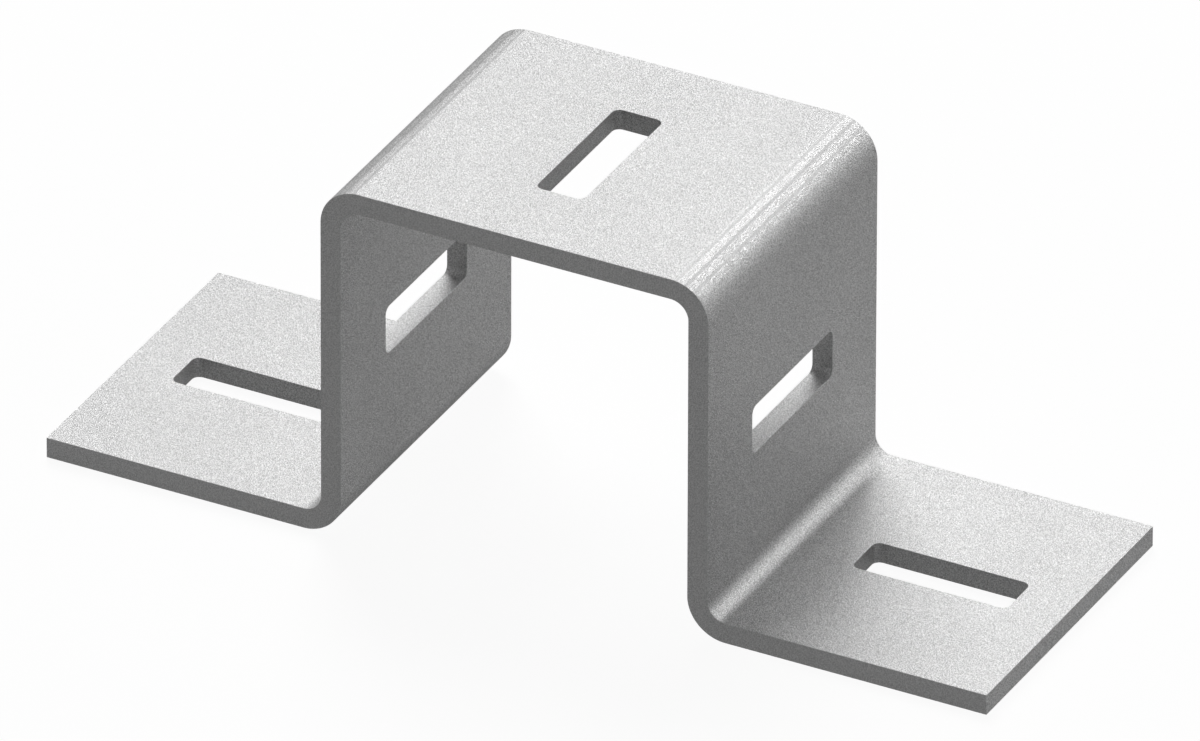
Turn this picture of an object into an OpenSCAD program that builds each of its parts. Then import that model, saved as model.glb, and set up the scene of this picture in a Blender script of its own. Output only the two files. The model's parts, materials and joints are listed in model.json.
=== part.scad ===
// Strut cross connector: one strip of sheet steel, folded four times into a hat section.
// The crown and the two webs straddle a strut, and the two flanges bolt down on what crosses under it.
// X runs across the strut and Y along it. The undersides of the flanges lie on Z = 0, below the middle of the crown.

/* [Strip] */
// Width of the strip, along the strut
strip_w = 40; // [24:0.5:90]
// Thickness of the sheet
sheet_t = 2.5; // [1:0.1:4]
// Inside radius of the four bends
bend_r = 2.2; // [0.5:0.1:5]

/* [Strut] */
// Width of the strut that the connector straddles
strut_w = 41.3; // [18:0.1:90]
// Height of that strut
strut_h = 41.3; // [18:0.1:90]
// Clearance between the strut and each web
side_gap = 0.65; // [0.1:0.05:2]
// Clearance between the strut and the crown
top_gap = 0.4; // [0.1:0.05:2]

/* [Flanges] */
// Length of each flange, from the outer face of its web to its free end
flange_l = 34.1; // [29:0.1:80]
// Distance from the free end of a flange to the middle of its slot
flange_slot_inset = 15.8; // [11:0.1:21]

/* [Slots] */
// Length of each slot
slot_l = 19; // [9:0.5:27]
// Width of each slot
slot_w = 5.9; // [3:0.1:12]
// Radius of the corners of each slot
slot_corner_r = 0.9; // [0.2:0.05:1.4]

/* [Hidden] */
$fn = 96;
sides = [-1, 1];
// Outer radius of a bend, which is also how far it reaches along the sheet from the faces outside it
bend_outer_r = bend_r + sheet_t;
// Distance from the middle of the crown to the inner face of a web
web_inner_x = strut_w / 2 + side_gap;
// Distance from the middle of the crown to the outer face of a web
web_outer_x = web_inner_x + sheet_t;
// Distance from the middle of the crown to the free end of a flange
flange_end_x = web_outer_x + flange_l;
// Height of the underside of the crown, and of its top
crown_under_z = strut_h + top_gap;
crown_top_z = crown_under_z + sheet_t;
// Middles of the slots
web_slot_z = strut_h / 2;
flange_slot_x = flange_end_x - flange_slot_inset;
// How far a slot's cutter stands out of each face of the sheet
cut_past = 1;

// Quarter of a ring: the section of one bend. The two signs say in which quarter round its centre it lies.
module bend_section(x_sign, z_sign) {
    intersection() {
        difference() {
            circle(r = bend_outer_r);
            circle(r = bend_r);
        }
        translate([x_sign < 0 ? -bend_outer_r : 0, z_sign < 0 ? -bend_outer_r : 0])
            square(bend_outer_r);
    }
}

// One side of the section: upper bend, web, lower bend and flange
module side_section() {
    translate([web_outer_x - bend_outer_r, crown_top_z - bend_outer_r])
        bend_section(1, 1);
    translate([web_inner_x, bend_outer_r])
        square([sheet_t, crown_top_z - 2 * bend_outer_r]);
    translate([web_outer_x + bend_r, bend_outer_r])
        bend_section(-1, -1);
    translate([web_outer_x + bend_r, 0])
        square([flange_l - bend_r, sheet_t]);
}

// Section of the folded strip, drawn with X to the right and Z up
module hat_section() {
    crown_flat = 2 * (web_outer_x - bend_outer_r);
    translate([-crown_flat / 2, crown_under_z])
        square([crown_flat, sheet_t]);
    for (side = sides)
        mirror([side < 0 ? 1 : 0, 0])
            side_section();
}

// Outline of one slot, centred, with its length along X: two crossed bars and a disc in each corner
module slot_outline() {
    square([slot_l, slot_w - 2 * slot_corner_r], center = true);
    square([slot_l - 2 * slot_corner_r, slot_w], center = true);
    for (u = sides, v = sides)
        translate([u * (slot_l / 2 - slot_corner_r), v * (slot_w / 2 - slot_corner_r)])
            circle(r = slot_corner_r);
}

// Cutter for one slot: it starts under the sheet and goes up through it, with the sheet's lower face on Z = 0
module slot_cutter() {
    translate([0, 0, -cut_past])
        linear_extrude(sheet_t + 2 * cut_past)
            slot_outline();
}

// The slots: one across each flange, one along each web and one along the crown
module slot_cutters() {
    for (side = sides) {
        translate([side * flange_slot_x, 0, 0])
            slot_cutter();
        translate([side * (web_inner_x + sheet_t / 2), 0, web_slot_z])
            rotate([0, 90, 0])
                rotate([0, 0, 90])
                    translate([0, 0, -sheet_t / 2])
                        slot_cutter();
    }
    translate([0, 0, crown_under_z])
        rotate([0, 0, 90])
            slot_cutter();
}

// The whole connector: the section run along the width of the strip, with its slots punched through
module folded_strip() {
    color("lightgray")
        difference() {
            translate([0, strip_w / 2, 0])
                rotate([90, 0, 0])
                    linear_extrude(strip_w)
                        hat_section();
            slot_cutters();
        }
}

folded_strip();
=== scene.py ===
"""Looks of the strut cross connector: a hat-shaped bracket folded from zinc-coated strip."""

import json
import math

import bmesh
import bpy
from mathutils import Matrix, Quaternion, Vector


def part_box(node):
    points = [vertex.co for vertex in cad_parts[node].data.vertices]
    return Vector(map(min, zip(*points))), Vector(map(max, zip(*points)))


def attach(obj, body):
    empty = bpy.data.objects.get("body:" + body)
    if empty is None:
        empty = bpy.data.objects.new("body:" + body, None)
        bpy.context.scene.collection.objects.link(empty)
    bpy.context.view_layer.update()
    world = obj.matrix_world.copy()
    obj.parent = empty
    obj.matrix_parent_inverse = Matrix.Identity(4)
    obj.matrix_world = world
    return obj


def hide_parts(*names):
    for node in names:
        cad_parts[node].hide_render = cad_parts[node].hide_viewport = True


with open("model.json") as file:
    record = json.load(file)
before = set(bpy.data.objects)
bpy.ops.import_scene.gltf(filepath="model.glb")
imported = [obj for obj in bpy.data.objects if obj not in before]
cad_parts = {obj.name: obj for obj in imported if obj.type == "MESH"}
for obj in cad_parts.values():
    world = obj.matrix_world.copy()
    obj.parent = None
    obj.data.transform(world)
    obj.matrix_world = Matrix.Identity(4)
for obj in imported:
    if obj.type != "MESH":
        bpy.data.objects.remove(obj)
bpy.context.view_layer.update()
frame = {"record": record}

# Flat blank
# The connector starts as a length of zinc-coated steel strip, 2.5 mm thick and 40 mm wide.
# Its sizes come from the frame: the box gives its ends, and the mounts the faces of the sheet.
mounts = {mount["name"]: mount for mount in frame["record"]["mounts"]}
flange_end_x, strip_edge_y, crown_top_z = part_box("folded_strip")[1]
web_inner_x = mounts["right_web_strut_guide"]["pos_m"][0]
sheet = crown_top_z - mounts["crown_strut_seat"]["pos_m"][2]
web_outer_x = web_inner_x + sheet
bend_radius = 0.0022
bend_outer_radius = bend_radius + sheet
bend_middle_radius = bend_radius + sheet / 2

# Runs of the blank from the middle of the crown to the end of a flange, along the middle of the sheet
crown_run = web_outer_x - bend_outer_radius
bend_run = bend_middle_radius * math.pi / 2
web_run = crown_top_z - 2 * bend_outer_radius
flange_run = flange_end_x - web_outer_x - bend_radius
upper_bend_start = crown_run
web_start = upper_bend_start + bend_run
lower_bend_start = web_start + web_run
flange_start = lower_bend_start + bend_run
blank_end = flange_start + flange_run

# Slots
# Five slots are punched through the blank: one along the crown and each web, and one across each flange.
# The punch has rounded corners, so a slot's outline is four arcs joined by straight sides.
slot_dims = mounts["crown_slot"]["dims"]
mm_in_metre = 1000
slot_long_half = slot_dims["slot_length_mm"] / 2 / mm_in_metre
slot_short_half = slot_dims["hole_r_mm"] / mm_in_metre
slot_corner_radius = 0.0009
slot_corner_steps = 8
web_slot_middle = web_start + crown_top_z - bend_outer_radius - mounts["right_web_slot"]["pos_m"][2]
flange_slot_middle = flange_start + mounts["right_flange_slot"]["pos_m"][0] - web_outer_x - bend_radius


def slot_outline(middle, half_along, half_across):
    """Four arcs round a slot, each a list of (along, across) points on the blank."""
    arcs = []
    for quarter, (u, v) in enumerate(((1, 1), (-1, 1), (-1, -1), (1, -1))):
        centre_along = middle + u * (half_along - slot_corner_radius)
        centre_across = v * (half_across - slot_corner_radius)
        arc = []
        for step in range(slot_corner_steps + 1):
            turn = math.pi / 2 * (quarter + step / slot_corner_steps)
            arc.append((centre_along + slot_corner_radius * math.cos(turn),
                        centre_across + slot_corner_radius * math.sin(turn)))
        arcs.append(arc)
    return arcs


# Folds
# A press brake turns the blank down at both ends of the crown, and out again at the feet of the webs.
# All four bends are right angles of 2.2 mm inside radius, and the sheet keeps its thickness in them.
bend_steps = 24


def fold(along, across, above):
    """Where a point of the blank ends up, given along, across and above the middle of the sheet."""
    run = abs(along)
    if run <= upper_bend_start:
        x, z = run, crown_top_z - sheet / 2 + above
    elif run <= web_start:
        turn = (run - upper_bend_start) / bend_middle_radius
        reach = bend_middle_radius + above
        x = crown_run + reach * math.sin(turn)
        z = crown_top_z - bend_outer_radius + reach * math.cos(turn)
    elif run <= lower_bend_start:
        x, z = web_inner_x + sheet / 2 + above, crown_top_z - bend_outer_radius - (run - web_start)
    elif run <= flange_start:
        turn = (run - lower_bend_start) / bend_middle_radius
        reach = bend_middle_radius - above
        x = web_outer_x + bend_radius - reach * math.cos(turn)
        z = bend_outer_radius - reach * math.sin(turn)
    else:
        x, z = web_outer_x + bend_radius + run - flange_start, sheet / 2 + above
    return Vector((math.copysign(x, along), across, z))


# Mesh of the folded strip
# Both faces of the sheet are laid out on the blank and folded, and walls join them along each cut.
# The skin goes on the rolled faces and the sheared ends, and the long edges and the slot walls are duller.
# Part of the slot walls' dullness is painted shade, and the web slot sides' extra gloss a painted highlight.
SKIN, EDGE, SLOT_WALL_DULL_AND_SHADE, WEB_SLOT_SIDE_HIGHLIGHT = 0, 1, 2, 3
edge_rounding = 0.00006
strip = bmesh.new()
strip_corners = {}


def strip_face(points, finish):
    """Adds a face with corners at (along, across, above) points of the blank."""
    corners = []
    for along, across, above in points:
        key = (round(along, 7), round(across, 7), above > 0)
        if key not in strip_corners:
            strip_corners[key] = strip.verts.new(fold(along, across, above))
        corners.append(strip_corners[key])
    strip.faces.new(corners).material_index = finish


def both_skins(outline):
    """Adds the same outline of the blank to the upper and the lower face of the sheet."""
    for above in (sheet / 2, -sheet / 2):
        strip_face([(along, across, above) for along, across in outline], SKIN)


def cut_wall(path, finish=EDGE):
    """Adds the cut wall of the sheet under a line of (along, across) points."""
    for start, end in zip(path, path[1:]):
        strip_face([(*start, sheet / 2), (*end, sheet / 2), (*end, -sheet / 2), (*start, -sheet / 2)],
                   finish)


def slotted_panel(start, end, middle, half_along, half_across, cross_side=SLOT_WALL_DULL_AND_SHADE):
    """Adds a flat run of the blank, as four faces round its slot. The slot's two straight sides that run
    across the blank get the finish cross_side."""
    rim = [(end, strip_edge_y), (start, strip_edge_y), (start, -strip_edge_y), (end, -strip_edge_y)]
    arcs = slot_outline(middle, half_along, half_across)
    half_arc = slot_corner_steps // 2
    for side in range(4):
        following = (side + 1) % 4
        inner = arcs[side][half_arc:] + arcs[following][:half_arc + 1]
        both_skins([rim[side], rim[following], *reversed(inner)])
        cut_wall(arcs[side], SLOT_WALL_DULL_AND_SHADE)
        cut_wall([arcs[side][-1], arcs[following][0]], cross_side if side % 2 else SLOT_WALL_DULL_AND_SHADE)
    cut_wall([rim[0], rim[1]])
    cut_wall([rim[2], rim[3]])


def bend_panel(start):
    """Adds one bend of the blank from start, as narrow faces from edge to edge of the strip."""
    for step in range(bend_steps):
        near = start + bend_run * step / bend_steps
        far = start + bend_run * (step + 1) / bend_steps
        both_skins([(near, -strip_edge_y), (far, -strip_edge_y), (far, strip_edge_y), (near, strip_edge_y)])
        cut_wall([(near, strip_edge_y), (far, strip_edge_y)])
        cut_wall([(near, -strip_edge_y), (far, -strip_edge_y)])


slotted_panel(-crown_run, crown_run, 0, slot_short_half, slot_long_half)
for side in (1, -1):
    # The long sides of the web slots get the glossier finish, a painted highlight on their lit lower walls.
    slotted_panel(*sorted((side * web_start, side * lower_bend_start)),
                  side * web_slot_middle, slot_short_half, slot_long_half, WEB_SLOT_SIDE_HIGHLIGHT)
    slotted_panel(*sorted((side * flange_start, side * blank_end)),
                  side * flange_slot_middle, slot_long_half, slot_short_half)
    cut_wall([(side * blank_end, -strip_edge_y), (side * blank_end, strip_edge_y)], SKIN)
    for start in (upper_bend_start, lower_bend_start):
        bend_panel(min(side * start, side * (start + bend_run)))

bmesh.ops.recalc_face_normals(strip, faces=strip.faces)
for face in strip.faces:
    face.smooth = True
strip_mesh = bpy.data.meshes.new("zinc_coated_strip")
strip.to_mesh(strip_mesh)
strip.free()
connector = bpy.data.objects.new("zinc_coated_strip", strip_mesh)
bpy.context.scene.collection.objects.link(connector)

worn_edges = connector.modifiers.new("worn_edges", "BEVEL")
worn_edges.width = edge_rounding
worn_edges.segments = 2
worn_edges.limit_method = "ANGLE"
worn_edges.angle_limit = math.radians(60)
flat_faces = connector.modifiers.new("flat_faces", "WEIGHTED_NORMAL")
flat_faces.mode = "FACE_AREA"
flat_faces.weight = 100

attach(connector, "root")
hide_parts("folded_strip")


# Zinc skin
# The rolled faces carry a satin zinc coating: pale, neutral grey, with a fine dense speckle in the metal.
# The press brake's die has rubbed the outside of each upper bend, which is glossier, with glints in it and
# three dull lines along it.
grain_turn = (0.6, 0.4, 0.9)
grain_size = 0.00011
glint_size = 0.00012
patch_size = 0.0006
cloud_size = 0.012
grain_depth = 0.00002
skin_darkest, skin_lightest = 0.43, 1.0
skin_metal = 0.29

# There is one dull line in each dull_line_turn of the bend. Its place and half widths are shares of that.
dull_lines = 3
dull_line_turn = math.radians(14.6)
dull_line_middle = 0.575
dull_line_core, dull_line_reach = 0.12, 0.17


class Reading:
    """One output of a shader node. Operators on it add Math nodes to the same tree."""

    def __init__(self, nodes, socket):
        self.nodes = nodes
        self.socket = socket

    def worked(self, operation, first, second):
        return self.nodes.add("ShaderNodeMath", {"operation": operation},
                              {"Value": first, "Value_001": second})

    def __add__(self, other):
        return self.worked("ADD", self, other)

    __radd__ = __add__

    def __mul__(self, other):
        return self.worked("MULTIPLY", self, other)

    __rmul__ = __mul__

    def __sub__(self, other):
        return self.worked("SUBTRACT", self, other)

    def __rsub__(self, other):
        return self.worked("SUBTRACT", other, self)


class Nodes:
    """The node tree of a material or the world."""

    def __init__(self, owner):
        owner.use_nodes = True
        self.tree = owner.node_tree
        self.tree.nodes.clear()

    def add(self, kind, settings, sockets, output=None):
        """Adds a node, sets its settings and then its sockets, and returns a reading of one output."""
        node = self.tree.nodes.new(kind)
        for name, value in settings.items():
            setattr(node, name, value)
        for name, value in sockets.items():
            socket = next(s for s in node.inputs if s.identifier == name)
            if isinstance(value, Reading):
                self.tree.links.new(value.socket, socket)
            else:
                socket.default_value = value
        found = [s for s in node.outputs if output in (None, s.identifier)]
        return Reading(self, found[0]) if found else None

    def grey_mix(self, share, low, high):
        """A grey between two levels."""
        return self.add("ShaderNodeMix", {"data_type": "RGBA"},
                        {"Factor_Float": share, "A_Color": (low, low, low, 1),
                         "B_Color": (high, high, high, 1)}, output="Result_Color")


def speckle(nodes, place, spacing, low=0.3, high=0.7):
    """Noise with grains of about that spacing in metres, 0 at its low level and 1 at its high one."""
    noise = nodes.add("ShaderNodeTexNoise", {}, {"Vector": place, "Scale": 1 / spacing, "Detail": 0.0})
    return nodes.add("ShaderNodeMapRange", {}, {"Value": noise, "From Min": low, "From Max": high})


def die_marks(nodes, place):
    """Readings on the outside of the upper bends: how much it is rubbed and the dull lines along it, both
    from 0 to 1, and the angle from the start of the bend in radians."""
    side = nodes.add("ShaderNodeSeparateXYZ", {}, {"Vector": place}, output="X")
    height = nodes.add("ShaderNodeSeparateXYZ", {}, {"Vector": place}, output="Z")
    past = nodes.add("ShaderNodeMath", {"operation": "ABSOLUTE"}, {"Value": side}) - crown_run
    above = height - (crown_top_z - bend_outer_radius)
    turn = nodes.add("ShaderNodeMath", {"operation": "ARCTAN2"}, {"Value": past, "Value_001": above})
    outside = nodes.add("ShaderNodeMapRange", {},
                        {"Value": past * past + above * above,
                         "From Min": (bend_middle_radius + sheet / 4) ** 2,
                         "From Max": (bend_outer_radius - sheet / 8) ** 2})
    begun = nodes.add("ShaderNodeMapRange", {},
                      {"Value": turn, "From Min": 0.0, "From Max": dull_line_turn})
    ended = nodes.add("ShaderNodeMapRange", {},
                      {"Value": turn, "From Min": dull_line_turn * (dull_lines + 1),
                       "From Max": dull_line_turn * (dull_lines - 0.5)})
    count = nodes.add("ShaderNodeMath", {"operation": "FRACT"}, {"Value": turn * (1 / dull_line_turn)})
    from_line = nodes.add("ShaderNodeMath", {"operation": "ABSOLUTE"}, {"Value": count - dull_line_middle})
    line = nodes.add("ShaderNodeMapRange", {},
                     {"Value": from_line, "From Min": dull_line_reach, "From Max": dull_line_core})
    half_span = dull_line_turn * dull_lines / 2
    within = nodes.add("ShaderNodeMath", {"operation": "COMPARE"},
                       {"Value": turn, "Value_001": half_span, "Value_002": half_span})
    return outside * begun * ended * (1 - line), outside * within * line, turn


def zinc_skin():
    material = bpy.data.materials.new("zinc_skin")
    nodes = Nodes(material)
    place = nodes.add("ShaderNodeTexCoord", {}, {}, output="Object")
    turned = nodes.add("ShaderNodeMapping", {}, {"Vector": place, "Rotation": grain_turn})
    fine = speckle(nodes, turned, grain_size, 0.35, 0.65)
    patches = speckle(nodes, turned, patch_size)
    clouds = speckle(nodes, turned, cloud_size)
    glints = speckle(nodes, turned, glint_size, 0.56, 0.66)
    rubbed, lines, turn = die_marks(nodes, place)
    # More metal shows where the die rubbed, most of all in the glints further round, and less in the lines
    rub_gain = 0.09 + 0.8 * turn * (glints - 0.2)
    line_loss = 0.058 - 0.055 * turn
    metal = skin_metal + (rubbed * rub_gain - lines * line_loss)
    grain = fine * (1 - 0.5 * lines) + 0.22 * lines
    tone = grain * 0.88 + patches * 0.08 + clouds * 0.04
    colour = nodes.grey_mix(tone, skin_darkest, skin_lightest)
    bump = nodes.add("ShaderNodeBump", {},
                     {"Strength": 0.6, "Distance": grain_depth, "Height": fine * (1 - lines)})
    shader = nodes.add("ShaderNodeBsdfPrincipled", {},
                       {"Base Color": colour, "Metallic": metal, "Roughness": 0.38 + 0.08 * patches,
                        "Specular IOR Level": 0.0, "Specular Tint": (0.3, 0.3, 0.3, 1), "Normal": bump})
    nodes.add("ShaderNodeOutputMaterial", {}, {"Surface": shader})
    return material


# Cut edges and slot walls
# The slitting that made the strip leaves its long edges smooth and a little duller than the skin. The punch
# leaves the slot walls duller again, and grained like the skin; part of that dullness is painted shade for
# the inside of the slots. The long sides of the web slots are glossier than their ends, a painted highlight
# that brightens their lit lower walls.
cut_grain_size = 0.00012


def cut_surface(name, darkest, lightest, bump_strength, metal):
    """A cut face of the sheet: greys from darkest to lightest, in a grain as rough as bump_strength."""
    material = bpy.data.materials.new(name)
    nodes = Nodes(material)
    place = nodes.add("ShaderNodeTexCoord", {}, {}, output="Object")
    turned = nodes.add("ShaderNodeMapping", {}, {"Vector": place, "Rotation": grain_turn})
    fine = speckle(nodes, turned, cut_grain_size)
    colour = nodes.grey_mix(fine, darkest, lightest)
    bump = nodes.add("ShaderNodeBump", {},
                     {"Strength": bump_strength, "Distance": grain_depth, "Height": fine})
    shader = nodes.add("ShaderNodeBsdfPrincipled", {},
                       {"Base Color": colour, "Metallic": metal, "Roughness": 0.42,
                        "Specular IOR Level": 0.0, "Normal": bump})
    nodes.add("ShaderNodeOutputMaterial", {}, {"Surface": shader})
    return material


strip_mesh.materials.append(zinc_skin())
strip_mesh.materials.append(
    cut_surface("cut_edges", darkest=0.55, lightest=0.83, bump_strength=0.5, metal=0.2))
# The slot walls are duller partly from the punch and partly as painted shade for the inside of the slots.
strip_mesh.materials.append(
    cut_surface("slot_walls", darkest=0.48, lightest=0.92, bump_strength=0.6, metal=0.11))
# The long sides of the web slots get more metal than the other slot walls: a painted highlight on their lit
# lower walls.
strip_mesh.materials.append(
    cut_surface("web_slot_sides", darkest=0.48, lightest=0.92, bump_strength=0.6, metal=0.23))

# Studio floor
# A plain pale sheet under the connector, wide enough to fill the view. It shows as white and keeps the
# shadow. It lies a hair below the flanges, so that they never share a plane with it, and it is clear from
# below, so that the underside of the part can be looked at.
floor_half = 6.0
floor_level = -0.00005
floor_grey = 0.16
floor_glow = 0.93
floor_corners = [(u * floor_half, v * floor_half, floor_level)
                 for u, v in ((-1, -1), (1, -1), (1, 1), (-1, 1))]
floor_mesh = bpy.data.meshes.new("studio_floor")
floor_mesh.from_pydata(floor_corners, [], [(0, 1, 2, 3)])
floor = bpy.data.objects.new("studio_floor", floor_mesh)
bpy.context.scene.collection.objects.link(floor)


def seen_directly(nodes):
    """1 for rays from the camera and those mirrored or passed on by a clear piece, and 0 for the rest."""
    kinds = [nodes.add("ShaderNodeLightPath", {}, {}, output=kind)
             for kind in ("Is Camera Ray", "Is Glossy Ray", "Is Transmission Ray")]
    return nodes.add("ShaderNodeMath", {"operation": "MINIMUM"},
                     {"Value": kinds[0] + kinds[1] + kinds[2], "Value_001": 1.0})


def floor_sheet():
    material = bpy.data.materials.new("floor_sheet")
    nodes = Nodes(material)
    paint = nodes.add("ShaderNodeBsdfDiffuse", {}, {"Color": (floor_grey, floor_grey, floor_grey, 1)})
    glow = nodes.add("ShaderNodeEmission", {},
                     {"Color": (1, 1, 1, 1), "Strength": floor_glow * seen_directly(nodes)})
    sheet_top = nodes.add("ShaderNodeAddShader", {}, {"Shader": paint, "Shader_001": glow})
    clear = nodes.add("ShaderNodeBsdfTransparent", {}, {"Color": (1, 1, 1, 1)})
    from_below = nodes.add("ShaderNodeNewGeometry", {}, {}, output="Backfacing")
    shader = nodes.add("ShaderNodeMixShader", {},
                       {"Fac": from_below, "Shader": sheet_top, "Shader_001": clear})
    nodes.add("ShaderNodeOutputMaterial", {}, {"Surface": shader})
    return material


floor_mesh.materials.append(floor_sheet())

# Studio light
# White surroundings for the eye and for reflections, with a dim even light from all of them. A soft key
# box stands high behind the part. A wide low box behind it only glosses it, and a weak one stands at its
# right.
ambient = 0.056
lamp_distance = 1.5
world = bpy.data.worlds.new("studio_world")
bpy.context.scene.world = world
world_nodes = Nodes(world)
world_level = seen_directly(world_nodes) * (1 - ambient) + ambient
background = world_nodes.add("ShaderNodeBackground", {}, {"Color": (1, 1, 1, 1), "Strength": world_level})
world_nodes.add("ShaderNodeOutputWorld", {}, {"Surface": background})


def bearing(azimuth, elevation):
    """Unit vector from the part in a direction. Azimuth 0 is straight behind it, and 90 on its right."""
    a, e = math.radians(azimuth), math.radians(elevation)
    return Vector((math.sin(a) * math.cos(e), math.cos(a) * math.cos(e), math.sin(e)))


def soft_box(name, azimuth, elevation, width, height, level, diffuse=True):
    """An area lamp that faces the part. With diffuse off it adds gloss alone."""
    lamp = bpy.data.lights.new(name, "AREA")
    lamp.shape = "RECTANGLE"
    lamp.size, lamp.size_y = width, height
    lamp.energy = level * math.pi * width * height
    box = bpy.data.objects.new(name, lamp)
    bpy.context.scene.collection.objects.link(box)
    outward = bearing(azimuth, elevation)
    box.location = outward * lamp_distance
    box.rotation_mode = "QUATERNION"
    box.rotation_quaternion = outward.to_track_quat("Z", "Y")
    box.visible_camera = False
    box.visible_diffuse = diffuse


soft_box("key_box", azimuth=-33, elevation=53, width=0.57, height=1.08, level=4.43)
soft_box("gloss_box", azimuth=6, elevation=21.5, width=1.55, height=1.35, level=2.6, diffuse=False)
soft_box("side_fill", azimuth=80, elevation=30, width=1.5, height=0.6, level=0.55)

# Camera
# It stands in front of the part, above it and on its right, which is the angle of the photo.
# Its lens is so long that parallel edges stay parallel.
camera_azimuth, camera_elevation, camera_roll = 180 - 27.535, 30.997, 0.149
camera_distance = 3.8
camera_target = Vector((0.00013, 0, 0.01675))
camera = bpy.data.cameras.new("camera")
camera.sensor_width = 36
camera.lens = 1043.5
camera.clip_start, camera.clip_end = 0.1, 20
viewer = bpy.data.objects.new("camera", camera)
bpy.context.scene.collection.objects.link(viewer)
backward = bearing(camera_azimuth, camera_elevation)
viewer.location = camera_target + camera_distance * backward
viewer.rotation_mode = "QUATERNION"
upright = backward.to_track_quat("Z", "Y")
viewer.rotation_quaternion = upright @ Quaternion((0, 0, 1), math.radians(camera_roll))
bpy.context.scene.camera = viewer
bpy.context.scene.view_settings.view_transform = "Standard"
